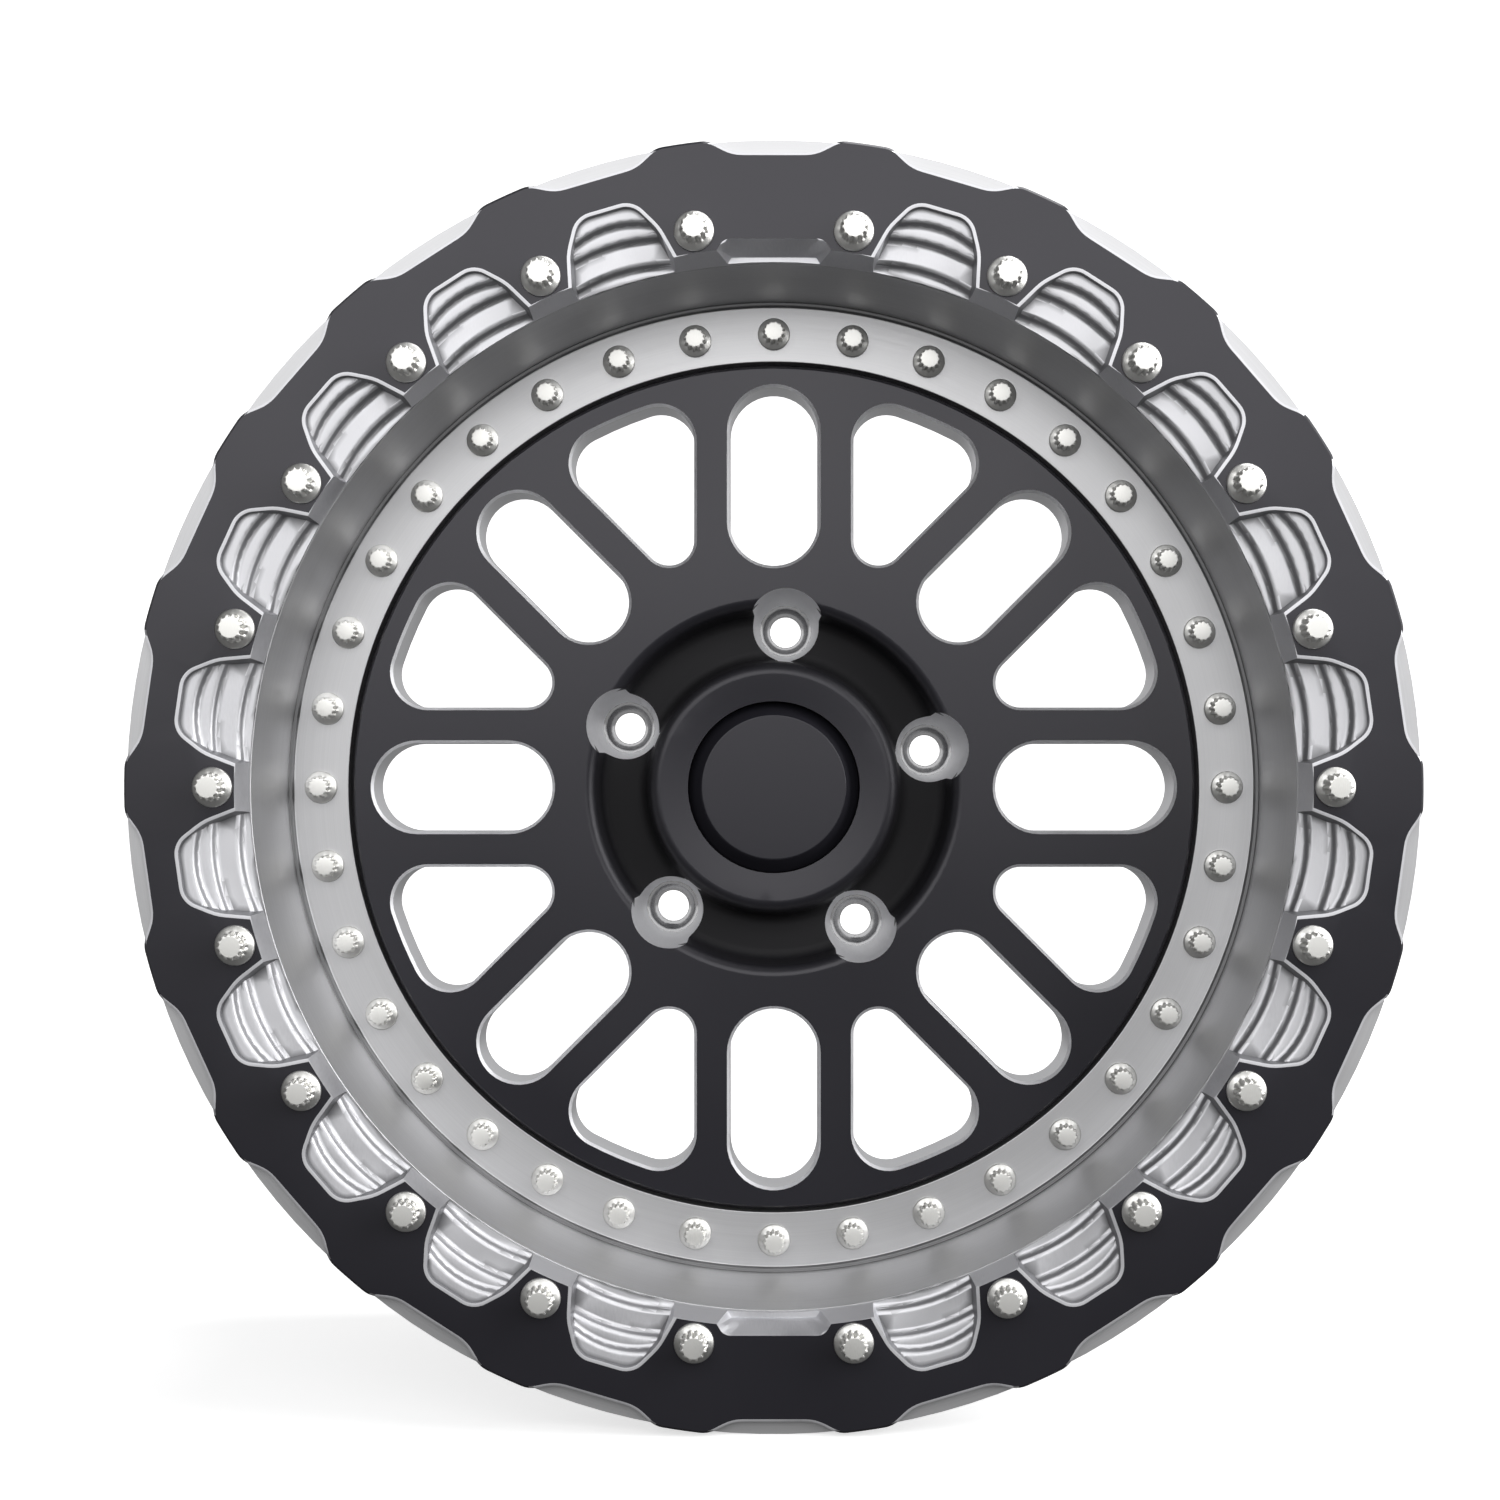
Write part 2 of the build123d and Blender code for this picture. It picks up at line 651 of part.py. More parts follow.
# Centre cap: a bevelled cup that rests on the shelf in the hub, with a groove for its seal
cap_face_h = face_h - hub_dish - cap_drop
cap_r = cap_bore_r - cap_clearance
cap_bevel_h = cap_face_h - cap_bevel_depth
cap_groove_r = cap_bore_r - cap_seal_section - 2 * seal_clearance
cap_groove_low_h = cap_shelf_h + cap_seal_offset - cap_seal_section / 2 - seal_clearance
cap_groove_high_h = cap_shelf_h + cap_seal_offset + cap_seal_section / 2 + seal_clearance
with BuildPart() as centre_cap:
    with BuildSketch(section):
        with BuildLine():
            Polyline(
                (0, cap_face_h),
                (cap_face_r, cap_face_h),
                (cap_r, cap_bevel_h),
                (cap_r, cap_groove_high_h),
                (cap_groove_r, cap_groove_high_h),
                (cap_groove_r, cap_groove_low_h),
                (cap_r, cap_groove_low_h),
                (cap_r, cap_shelf_h),
                (cap_groove_r - cap_wall, cap_shelf_h),
                (cap_groove_r - cap_wall, cap_bevel_h - cap_wall),
                (cap_face_r - cap_wall, cap_face_h - cap_wall),
                (0, cap_face_h - cap_wall),
                close=True,
            )
        make_face()
    revolve(axis=Axis.Y)
centre_cap.part.label = "centre_cap"
export_step(centre_cap.part, "parts/centre_cap.step")

# Square-section ring seal that grips the cap in its bore
with BuildPart() as cap_seal:
    with BuildSketch(front.offset(cap_groove_low_h + seal_clearance)):
        Circle(cap_bore_r - seal_clearance)
        Circle(cap_bore_r - seal_clearance - cap_seal_section, mode=Mode.SUBTRACT)
    extrude(amount=cap_seal_section)
cap_seal.part.label = "cap_seal"
export_step(cap_seal.part, "parts/cap_seal.step")

# Valve stem: head outside the drop centre, shank through it, and a bore for the core
valve_head_base_r = valve_out_r + valve_grommet_thick
valve_end_r = valve_in_r - valve_stem_length
with BuildPart() as valve_stem:
    with BuildSketch(valve_axis.offset(valve_head_base_r)):
        Circle(valve_head_r)
    extrude(amount=valve_head_thick)
    with BuildSketch(valve_axis.offset(valve_end_r)):
        Circle(valve_stem_r)
    extrude(amount=valve_head_base_r - valve_end_r)
    with BuildSketch(valve_axis.offset(valve_end_r)):
        Circle(valve_air_r)
    extrude(amount=valve_head_base_r + valve_head_thick - valve_end_r, mode=Mode.SUBTRACT)
    with BuildSketch(valve_axis.offset(valve_end_r)):
        Circle(valve_core_r + valve_clearance)
    extrude(amount=valve_core_length + valve_pin_length, mode=Mode.SUBTRACT)
valve_stem.part.label = "valve_stem"
export_step(valve_stem.part, "parts/valve_stem.step")

# Rubber grommet under the stem's head, with a collar in the hole
with BuildPart() as valve_grommet:
    with BuildSketch(valve_axis.offset(valve_out_r)):
        Circle(valve_head_r)
    extrude(amount=valve_grommet_thick)
    with BuildSketch(valve_axis.offset(valve_out_r)):
        Circle(valve_hole_r - valve_clearance)
    extrude(amount=-valve_grommet_collar)
    with BuildSketch(valve_axis.offset(valve_out_r - valve_grommet_collar)):
        Circle(valve_stem_r + valve_clearance)
    extrude(amount=valve_grommet_thick + valve_grommet_collar, mode=Mode.SUBTRACT)
valve_grommet.part.label = "valve_grommet"
export_step(valve_grommet.part, "parts/valve_grommet.step")

# Washer and nut that clamp the stem from inside the wheel
with BuildPart() as valve_washer:
    with BuildSketch(valve_axis.offset(valve_in_r)):
        Circle(valve_washer_r)
        Circle(valve_stem_r + bolt_clearance, mode=Mode.SUBTRACT)
    extrude(amount=-valve_washer_thick)
valve_washer.part.label = "valve_washer"
export_step(valve_washer.part, "parts/valve_washer.step")

with BuildPart() as valve_nut:
    with BuildSketch(valve_axis.offset(valve_in_r - valve_washer_thick)):
        RegularPolygon(valve_nut_flats / 2, 6, major_radius=False)
        Circle(valve_stem_r + thread_clearance, mode=Mode.SUBTRACT)
    extrude(amount=-valve_nut_height)
valve_nut.part.label = "valve_nut"
export_step(valve_nut.part, "parts/valve_nut.step")

# Valve core: sealed insert in the stem's bore, with its pin level with the stem's end
with BuildPart() as valve_core:
    with BuildSketch(valve_axis.offset(valve_end_r + valve_pin_length)):
        Circle(valve_core_r)
    extrude(amount=valve_core_length)
    with BuildSketch(valve_axis.offset(valve_end_r)):
        Circle(valve_pin_r)
    extrude(amount=valve_pin_length)
valve_core.part.label = "valve_core"
export_step(valve_core.part, "parts/valve_core.step")

# Valve cap screwed over the stem's end
with BuildPart() as valve_cap:
    with BuildSketch(valve_axis.offset(valve_end_r - valve_clearance - valve_cap_end)):
        Circle(valve_cap_r)
    extrude(amount=valve_cap_end + valve_clearance + valve_cap_cover)
    with BuildSketch(valve_axis.offset(valve_end_r - valve_clearance)):
        Circle(valve_stem_r + valve_clearance)
    extrude(amount=valve_clearance + valve_cap_cover, mode=Mode.SUBTRACT)
valve_cap.part.label = "valve_cap"
export_step(valve_cap.part, "parts/valve_cap.step")
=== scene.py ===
import math

import bpy
import numpy as np
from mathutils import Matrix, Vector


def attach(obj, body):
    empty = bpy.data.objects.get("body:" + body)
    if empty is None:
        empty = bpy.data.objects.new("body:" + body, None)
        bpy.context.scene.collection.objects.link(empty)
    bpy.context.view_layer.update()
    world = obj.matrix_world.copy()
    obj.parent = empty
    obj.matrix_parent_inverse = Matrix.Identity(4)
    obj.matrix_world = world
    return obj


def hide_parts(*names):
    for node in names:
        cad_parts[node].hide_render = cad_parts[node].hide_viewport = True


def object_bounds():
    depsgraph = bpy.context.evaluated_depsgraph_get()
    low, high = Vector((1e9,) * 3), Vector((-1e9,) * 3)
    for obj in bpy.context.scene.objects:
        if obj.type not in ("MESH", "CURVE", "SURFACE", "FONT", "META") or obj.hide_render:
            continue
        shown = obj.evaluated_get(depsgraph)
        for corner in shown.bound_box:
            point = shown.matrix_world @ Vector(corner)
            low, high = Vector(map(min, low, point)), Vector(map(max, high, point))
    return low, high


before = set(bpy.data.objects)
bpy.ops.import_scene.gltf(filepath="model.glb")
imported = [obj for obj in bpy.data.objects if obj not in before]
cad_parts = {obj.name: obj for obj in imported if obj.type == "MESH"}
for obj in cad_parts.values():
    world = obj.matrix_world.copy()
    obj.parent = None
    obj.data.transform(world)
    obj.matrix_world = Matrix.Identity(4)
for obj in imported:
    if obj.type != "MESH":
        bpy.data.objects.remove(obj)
cad_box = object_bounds()

# Centre disc: forged from one aluminium blank, turned and milled, then coated satin black all over.
# The slots, triangles and lug holes are cut through the coat afterwards, so their walls, chamfers and cones
# are bare milled metal, and so are the hub face and bore at the back, which are faced last.


def welded(node):
    """Corners and triangles of a CAD node, with the corners that its loose triangles share made one."""
    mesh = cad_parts[node].data
    points = np.empty(len(mesh.vertices) * 3, np.float32)
    mesh.vertices.foreach_get("co", points)
    corners = np.empty(len(mesh.loops), np.int32)
    mesh.loops.foreach_get("vertex_index", corners)
    kept, index = np.unique(points.reshape(-1, 3), axis=0, return_inverse=True)
    faces = index.reshape(-1)[corners].reshape(-1, 3)
    sound = (faces != np.roll(faces, 1, axis=1)).all(1)
    return kept, faces[sound]


def face_facts(points, faces):
    """Corners, centre and unit normal of each triangle, and how far its corners lie from the spin axis."""
    corner = points[faces]
    normal = np.cross(corner[:, 1] - corner[:, 0], corner[:, 2] - corner[:, 0])
    normal /= np.maximum(np.linalg.norm(normal, axis=1, keepdims=True), 1e-12)
    reach = np.hypot(corner[:, :, 0], corner[:, :, 2])
    return corner, corner.mean(1), normal, reach


def piece_from(name, points, faces, materials, indices=None, sharp=32):
    """A mesh piece from arrays, smooth except where two faces meet at more than the sharp angle in degrees.
    The indices say which material each face has; without them all have the first."""
    mesh = bpy.data.meshes.new(name)
    mesh.from_pydata(points.tolist(), [], faces if isinstance(faces, list) else faces.tolist())
    for material in materials:
        mesh.materials.append(material)
    if indices is not None:
        mesh.polygons.foreach_set("material_index", indices.astype(np.int32))
    mesh.shade_smooth()
    mesh.set_sharp_from_angle(angle=math.radians(sharp))
    piece = bpy.data.objects.new(name, mesh)
    bpy.context.scene.collection.objects.link(piece)
    weighted = piece.modifiers.new("even_shading", "WEIGHTED_NORMAL")
    weighted.keep_sharp = True
    weighted.weight = 80
    return piece


def effect_group(name, scale, outputs):
    """A shader node group that takes a Vector and a Scale, with its input and output nodes."""
    group = bpy.data.node_groups.new(name, "ShaderNodeTree")
    group.interface.new_socket("Vector", in_out="INPUT", socket_type="NodeSocketVector")
    group.interface.new_socket("Scale", in_out="INPUT", socket_type="NodeSocketFloat").default_value = scale
    for label in outputs:
        group.interface.new_socket(label, in_out="OUTPUT", socket_type="NodeSocketFloat")
    return group, group.nodes.new("NodeGroupInput"), group.nodes.new("NodeGroupOutput")


def feed(tree, socket, value):
    """Puts a plain number on a socket, or links another socket to it."""
    if isinstance(value, (int, float)):
        socket.default_value = value
    else:
        tree.links.new(value, socket)


def math_node(tree, operation, first, second):
    """Result of a Math node on two sockets or plain numbers."""
    node = tree.nodes.new("ShaderNodeMath")
    node.operation = operation
    feed(tree, node.inputs[0], first)
    feed(tree, node.inputs[1], second)
    return node.outputs[0]


def scaled(tree, vector, factors):
    """A vector socket with each of its parts multiplied by a number."""
    node = tree.nodes.new("ShaderNodeVectorMath")
    node.operation = "MULTIPLY"
    tree.links.new(vector, node.inputs[0])
    node.inputs[1].default_value = factors
    return node.outputs[0]


def length_of(tree, vector):
    """Length of a vector socket."""
    node = tree.nodes.new("ShaderNodeVectorMath")
    node.operation = "LENGTH"
    tree.links.new(vector, node.inputs[0])
    return node.outputs["Value"]


def axis_distance(tree, vector):
    """Distance of a place from the spin axis: the length of its x and z parts."""
    return length_of(tree, scaled(tree, vector, (1, 0, 1)))


def noise_node(tree, vector, scale, detail=0.0, roughness=0.5):
    """Value of a Noise Texture on a vector socket, about 0.25 to 0.75; the scale is a socket or a number."""
    node = tree.nodes.new("ShaderNodeTexNoise")
    tree.links.new(vector, node.inputs["Vector"])
    feed(tree, node.inputs["Scale"], scale)
    node.inputs["Detail"].default_value = detail
    node.inputs["Roughness"].default_value = roughness
    return node.outputs[0]


# Fine uneven skin of a sprayed and baked coat: small soft bumps, with broad patches of slightly different gloss
patch_scale = 14.0
coat_skin, enter, leave = effect_group("coat_skin", 900.0, ("Height", "Tone", "Gloss"))
fine = noise_node(coat_skin, enter.outputs["Vector"], enter.outputs["Scale"])
broad = noise_node(coat_skin, enter.outputs["Vector"], patch_scale)
coat_skin.links.new(fine, leave.inputs["Height"])
coat_skin.links.new(math_node(coat_skin, "MULTIPLY", fine, broad), leave.inputs["Tone"])
coat_skin.links.new(broad, leave.inputs["Gloss"])

# Grain that a milling cutter leaves: fine streaks drawn out across the wheel, over broad tool-pass shading
streak_stretch = (1.0, 0.25, 0.3)
streak_share = 0.35
pass_scale = 55.0
mill_grain, enter, leave = effect_group("mill_grain", 1600.0, ("Height", "Tone"))
drawn_out = scaled(mill_grain, enter.outputs["Vector"], streak_stretch)
streak = noise_node(mill_grain, drawn_out, enter.outputs["Scale"])
passes = noise_node(mill_grain, enter.outputs["Vector"], pass_scale)
streak_tone = math_node(mill_grain, "MULTIPLY", streak, streak_share)
mill_grain.links.new(streak, leave.inputs["Height"])
mill_grain.links.new(math_node(mill_grain, "ADD", streak_tone, passes), leave.inputs["Tone"])


def ranged(tree, value, low, high, from_low=0.3, from_high=0.7):
    """Maps a value to low..high, from the middle range of a noise unless another range is given."""
    node = tree.nodes.new("ShaderNodeMapRange")
    tree.links.new(value, node.inputs["Value"])
    for label, number in (("From Min", from_low), ("From Max", from_high), ("To Min", low), ("To Max", high)):
        node.inputs[label].default_value = number
    return node.outputs[0]


def mixed(tree, factor, first, second):
    """A colour between two, by a factor socket from 0 to 1; the first is a colour or a socket."""
    node = tree.nodes.new("ShaderNodeMix")
    node.data_type = "RGBA"
    tree.links.new(factor, node.inputs["Factor"])
    if isinstance(first, tuple):
        node.inputs["A"].default_value = (*first, 1)
    else:
        tree.links.new(first, node.inputs["A"])
    node.inputs["B"].default_value = (*second, 1)
    return node.outputs["Result"]


def laid_over(tree, factor, colour):
    """Lays a colour over the base colour that a material already has, by a factor socket from 0 to 1."""
    base = tree.nodes["Principled BSDF"].inputs["Base Color"]
    tree.links.new(mixed(tree, factor, base.links[0].from_socket, colour), base)


def finish_material(name, group, scale, colours, rough, bump, metallic=1.0, tone="Tone", gloss="Tone"):
    """A material whose colour, roughness and bump come from one effect group on Object coordinates.

    colours and rough are pairs for the low and high ends of the group's outputs that tone and gloss name;
    bump is the relief in metres.
    """
    material = bpy.data.materials.new(name)
    material.use_nodes = True
    tree = material.node_tree
    shader = tree.nodes["Principled BSDF"]
    shader.inputs["Metallic"].default_value = metallic
    place = tree.nodes.new("ShaderNodeTexCoord")
    effect = tree.nodes.new("ShaderNodeGroup")
    effect.node_tree = group
    tree.links.new(place.outputs["Object"], effect.inputs["Vector"])
    effect.inputs["Scale"].default_value = scale
    shade = ranged(tree, effect.outputs[tone], 0.0, 1.0)
    tree.links.new(mixed(tree, shade, *colours), shader.inputs["Base Color"])
    tree.links.new(ranged(tree, effect.outputs[gloss], *rough), shader.inputs["Roughness"])
    relief = tree.nodes.new("ShaderNodeBump")
    relief.inputs["Strength"].default_value = 1.0
    relief.inputs["Distance"].default_value = bump
    tree.links.new(effect.outputs["Height"], relief.inputs["Height"])
    tree.links.new(relief.outputs["Normal"], shader.inputs["Normal"])
    return material


# The coat is a faintly violet black, in its sheen too
black_coat = finish_material(
    "black_coat", coat_skin, 900.0, ((0.0165, 0.016, 0.021), (0.0195, 0.019, 0.0245)), (0.28, 0.33), 6e-6,
    metallic=0.0, tone="Gloss", gloss="Gloss",
)
black_coat.node_tree.nodes["Principled BSDF"].inputs["Specular Tint"].default_value = (0.965, 0.95, 1.0, 1)

# In the hub's trough the coat is matte, and its colour is darkened as painted shade in the recess,
# fading out over the fillets at both edges
trough_inner_edge = (0.0445, 0.0515)
trough_outer_edge = (0.0660, 0.0740)
trough_painted_shade = (0.003, 0.003, 0.0033)
trough_matte = 0.42
disc_coat = black_coat.copy()
disc_coat.name = "disc_coat"
tree = disc_coat.node_tree
place = tree.nodes.new("ShaderNodeTexCoord")
distance = axis_distance(tree, place.outputs["Object"])
inside = ranged(tree, distance, 0.0, 1.0, *trough_inner_edge)
outside = ranged(tree, distance, 1.0, 0.0, *trough_outer_edge)
in_trough = math_node(tree, "MULTIPLY", inside, outside)
# Painted shade: the coat's colour goes towards near black inside the trough
laid_over(tree, in_trough, trough_painted_shade)
roughness = tree.nodes["Principled BSDF"].inputs["Roughness"]
added = math_node(tree, "MULTIPLY", in_trough, trough_matte)
tree.links.new(math_node(tree, "ADD", roughness.links[0].from_socket, added), roughness)

# The hub face and bore are milled, and the long walls of the windows are left as they were cut, which is duller.
# Chamfers and lug mouths are painted lighter as a painted highlight, and a little rougher; the lug cones are
# reamed smooth.
milled_alloy = finish_material(
    "milled_alloy", mill_grain, 1600.0, ((0.66, 0.66, 0.685), (0.74, 0.74, 0.765)), (0.46, 0.54), 6e-6
)
sawn_alloy = finish_material(
    "sawn_alloy", mill_grain, 1600.0, ((0.44, 0.44, 0.455), (0.50, 0.50, 0.515)), (0.46, 0.54), 6e-6
)
# Painted highlight: chamfers and lug mouths are a lighter grey than the milled faces
edge_highlight = finish_material(
    "edge_highlight", mill_grain, 1600.0, ((0.80, 0.80, 0.82), (0.88, 0.88, 0.90)), (0.50, 0.58), 4e-6
)
reamed_alloy = finish_material(
    "reamed_alloy", mill_grain, 2400.0, ((0.40, 0.40, 0.41), (0.48, 0.48, 0.49)), (0.12, 0.18), 2e-6
)

# Each face's finish follows from its place and from the y part of its normal, which is 0 on a wall along the axis.
# A face of a lug hole also looks at the hole's own axis.
disc_face_y = -0.051
disc_back_y = -0.025
window_reach = (0.0840, 0.1600)
window_slope = 0.85
chamfer_slope = 0.3
lug_centre_r = 0.0635
lug_mouth_r = 0.01485
lug_cone_r = 0.0135
lug_seat_r = 0.0106
lug_wall_slope = 0.14
lug_facing = 0.95
lug_turns = np.radians(4.3 + 72 * np.arange(5))
hub_face_y = -0.0005
hub_bore_y = -0.030
hub_bore_reach = 0.0365

points, faces = welded("centre_disc")
corner, centre, normal, reach = face_facts(points, faces)
slope = np.abs(normal[:, 1])
in_window = (reach.min(1) > window_reach[0]) & (reach.max(1) < window_reach[1])
between_faces = (centre[:, 1] > disc_face_y) & (centre[:, 1] < disc_back_y)
window_wall = (slope < window_slope) & in_window & between_faces
window_edge = window_wall & (slope > chamfer_slope)
lug_axes = lug_centre_r * np.stack([np.sin(lug_turns), np.cos(lug_turns)], -1)
off_lug = np.linalg.norm(corner[:, :, None, ::2] - lug_axes, axis=-1)
nearest = np.linalg.norm(centre[:, None, ::2] - lug_axes, axis=-1).argmin(1)
to_axis = lug_axes[nearest] - centre[:, ::2]
toward = (to_axis * normal[:, ::2]).sum(1)
straight = np.linalg.norm(to_axis, axis=1) * np.linalg.norm(normal[:, ::2], axis=1)
lug_wall = (off_lug.max(1).min(1) < lug_mouth_r) & (toward > lug_facing * straight)
lug_wall &= (slope < lug_wall_slope) | (off_lug.min(1).min(1) < lug_cone_r)
lug_seat = lug_wall & (off_lug.max(1).min(1) < lug_seat_r)
hub_seat = (centre[:, 1] > hub_face_y) | ((reach.max(1) < hub_bore_reach) & (centre[:, 1] > hub_bore_y))
finish = np.select([lug_seat, window_edge | lug_wall, window_wall, hub_seat], [3, 2, 4, 1], 0)
disc_finishes = (disc_coat, milled_alloy, edge_highlight, reamed_alloy, sawn_alloy)
disc = piece_from("centre_disc_finished", points, faces, disc_finishes, finish)
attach(disc, "root")
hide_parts("centre_disc")

# Outer barrel: the dished lip half of the rim, one aluminium ring turned on a lathe and left bare.
# Its front carries the clamp ring, its outside the register and flange for the tyre's bead, and its inner
# flange is bolted to the front of the centre disc.


def rounded(section, radius, steps=4):
    """A closed section with each corner C eased: points (1-s)^2 A + 2 s (1-s) C + s^2 B, s from 0 to 1, where
    A and B lie one radius before and after C, or 0.4 of a shorter side."""
    c = np.asarray(section, float)
    before = np.roll(c, 1, axis=0) - c
    after = np.roll(c, -1, axis=0) - c
    back = np.linalg.norm(before, axis=1, keepdims=True)
    ahead = np.linalg.norm(after, axis=1, keepdims=True)
    take = np.minimum(np.reshape(radius, (-1, 1)), 0.4 * np.minimum(back, ahead))
    a = (c + before / back * take)[:, None]
    b = (c + after / ahead * take)[:, None]
    s = np.linspace(0, 1, steps + 1)[None, :, None]
    return ((1 - s) ** 2 * a + 2 * s * (1 - s) * c[:, None] + s**2 * b).reshape(-1, 2)


def grid_faces(rows, columns, close_rows=True):
    """Quads of a grid of rows x columns points that joins up round the columns, and round the rows if they
    close."""
    i, j = np.meshgrid(np.arange(rows if close_rows else rows - 1), np.arange(columns), indexing="ij")
    up, along = (i + 1) % rows, (j + 1) % columns
    quads = [i * columns + j, i * columns + along, up * columns + along, up * columns + j]
    return np.stack(quads, -1).reshape(-1, 4)


def turned(section, steps=288, closed=True):
    """A section of (r, h) points carried round the spin axis: at turn t a point is at (r sin t, -h, r cos t).
    The quads run so that a section listed clockwise, radius across and height up, has its faces outwards.
    A section that isn't closed starts and ends on the axis."""
    r, h = np.asarray(section, float).T[:, :, None]
    t = np.linspace(0, 2 * np.pi, steps, endpoint=False)
    points = np.stack(np.broadcast_arrays(r * np.sin(t), -h, r * np.cos(t)), -1).reshape(-1, 3)
    return points, grid_faces(len(r), steps, closed)


# Marks of a lathe tool: fine rings that follow the turned surface, fading in and out round the wheel.
# The rings count along a slant of the distance from the axis and the depth, so that they show on walls as well.
ring_slant = 0.83
fade_scale = 9.0
sweep_scale = 9.0
lathe_marks, enter, leave = effect_group("lathe_marks", 2200.0, ("Height", "Tone"))
parts = lathe_marks.nodes.new("ShaderNodeSeparateXYZ")
lathe_marks.links.new(enter.outputs["Vector"], parts.inputs[0])
slant = math_node(lathe_marks, "MULTIPLY", parts.outputs["Y"], ring_slant)
path = math_node(lathe_marks, "ADD", axis_distance(lathe_marks, enter.outputs["Vector"]), slant)
rings = lathe_marks.nodes.new("ShaderNodeCombineXYZ")
for label, value, scale in (
    ("X", path, enter.outputs["Scale"]),
    ("Y", parts.outputs["X"], fade_scale),
    ("Z", parts.outputs["Z"], fade_scale),
):
    lathe_marks.links.new(math_node(lathe_marks, "MULTIPLY", value, scale), rings.inputs[label])
groove = noise_node(lathe_marks, rings.outputs[0], 1.0, detail=1.0, roughness=0.6)
sweep = noise_node(lathe_marks, enter.outputs["Vector"], sweep_scale)
both = math_node(lathe_marks, "ADD", groove, sweep)
lathe_marks.links.new(groove, leave.inputs["Height"])
lathe_marks.links.new(math_node(lathe_marks, "MULTIPLY", both, 0.5), leave.inputs["Tone"])

turned_alloy = finish_material(
    "turned_alloy", lathe_marks, 2200.0, ((0.59, 0.59, 0.60), (0.66, 0.66, 0.67)), (0.45, 0.53), 6e-6
)

# The step at the foot of the lip is painted dark as shade in its crease, and is a little rougher
lip_foot_shade = finish_material(
    "lip_foot_shade", lathe_marks, 2200.0, ((0.20, 0.20, 0.205), (0.26, 0.26, 0.265)), (0.50, 0.58), 6e-6
)

turned_easing = 0.0005
foot_reach = (0.18855, 0.1905)
foot_y = (-0.0502, -0.0479)
outer_section = [
    (0.1967, 0.0940), (0.2170, 0.0940), (0.2170, 0.0780), (0.2365, 0.0780), (0.2365, 0.0710),
    (0.2170, 0.0710), (0.1995, 0.0535), (0.1995, 0.0380), (0.1955, 0.0340), (0.1862, 0.0340),
    (0.1862, 0.0390), (0.1671, 0.0390), (0.1671, 0.0480), (0.1886, 0.0480), (0.1890, 0.0496),
    (0.1904, 0.0496),
]
points, faces = turned(rounded(outer_section, turned_easing))
middle = points[faces].mean(1)
middle_reach = np.hypot(middle[:, 0], middle[:, 2])
at_foot = (middle_reach > foot_reach[0]) & (middle_reach < foot_reach[1])
at_foot &= (middle[:, 1] > foot_y[0]) & (middle[:, 1] < foot_y[1])
lip = piece_from("outer_barrel_turned", points, faces, (turned_alloy, lip_foot_shade), at_foot)
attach(lip, "root")
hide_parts("outer_barrel")

# Inner barrel: the rear half of the rim, turned from aluminium and left bare like the lip.
# From the front: bolting flange, drop centre, hump, tapered bead rest and the rolled rim edge.
well_easing = 0.004
rim_easing = 0.0022
inner_section = [
    (0.1655, 0.0290), (0.1862, 0.0290), (0.1862, 0.0340), (0.1955, 0.0340), (0.1995, 0.0300),
    (0.1995, -0.0360), (0.21603, -0.0820), (0.21603, -0.0880), (0.21763, -0.0920), (0.21603, -0.0960),
    (0.2183, -0.1220), (0.2365, -0.1220), (0.2365, -0.1330), (0.2295, -0.1330), (0.2108, -0.1220),
    (0.20853, -0.0820), (0.1920, -0.0360), (0.1920, 0.0200), (0.1655, 0.0200),
]
inner_easing = np.full(len(inner_section), turned_easing)
inner_easing[[5, 6, 7, 8, 9, 15, 16]] = well_easing
inner_easing[[10, 11, 12, 13, 14]] = rim_easing
points, faces = turned(rounded(inner_section, inner_easing, steps=6))
barrel = piece_from("inner_barrel_turned", points, faces, (turned_alloy,))
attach(barrel, "root")
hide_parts("inner_barrel")

# Sealant: a bead of black silicone wiped into the V groove where the two barrel halves meet, which keeps the
# air in. Its surface is slightly hollow, as a finger leaves it.
sealant = finish_material(
    "sealant", coat_skin, 350.0, ((0.030, 0.030, 0.031), (0.045, 0.045, 0.046)), (0.45, 0.6), 8e-5,
    metallic=0.0, gloss="Gloss",
)
seal_section = [
    (0.1956, 0.0340), (0.1995, 0.0379), (0.1991, 0.0360), (0.1990, 0.0340), (0.1991, 0.0320), (0.1995, 0.0301)
]
points, faces = turned(seal_section)
seal = piece_from("barrel_seal_bead", points, faces, (sealant,))
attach(seal, "root")
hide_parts("barrel_seal")

# Assembly bolts: flanged 12-point screws of plated steel that clamp the lip, the disc and the inner barrel.
# Each has a conical flange, a 12-point head with turned-off tips, and a shank to the nut behind. The tops of the
# heads are painted a little lighter than the rest, a painted highlight, and are a little rougher.


def twelve_point(rows, turns=96):
    """Points and quads of one screw: row k is a ring at height h_k above the seat, whose radius at angle p is
    r_k (1 - d_k w^2), where w = (1 + cos 12p) / 2 and d_k is the depth of the row's flutes, 0 on a plain row.
    The first and last rows are the two poles."""
    r, h, d = (np.asarray(v, float)[:, None] for v in zip(*rows))
    p = np.linspace(0, 2 * np.pi, turns, endpoint=False)[None]
    radius = r * (1 - d * (0.5 + 0.5 * np.cos(12 * p)) ** 2)
    points = np.stack(np.broadcast_arrays(radius * np.cos(p), h, radius * np.sin(p)), -1).reshape(-1, 3)
    return points, grid_faces(len(rows), turns, close_rows=False)


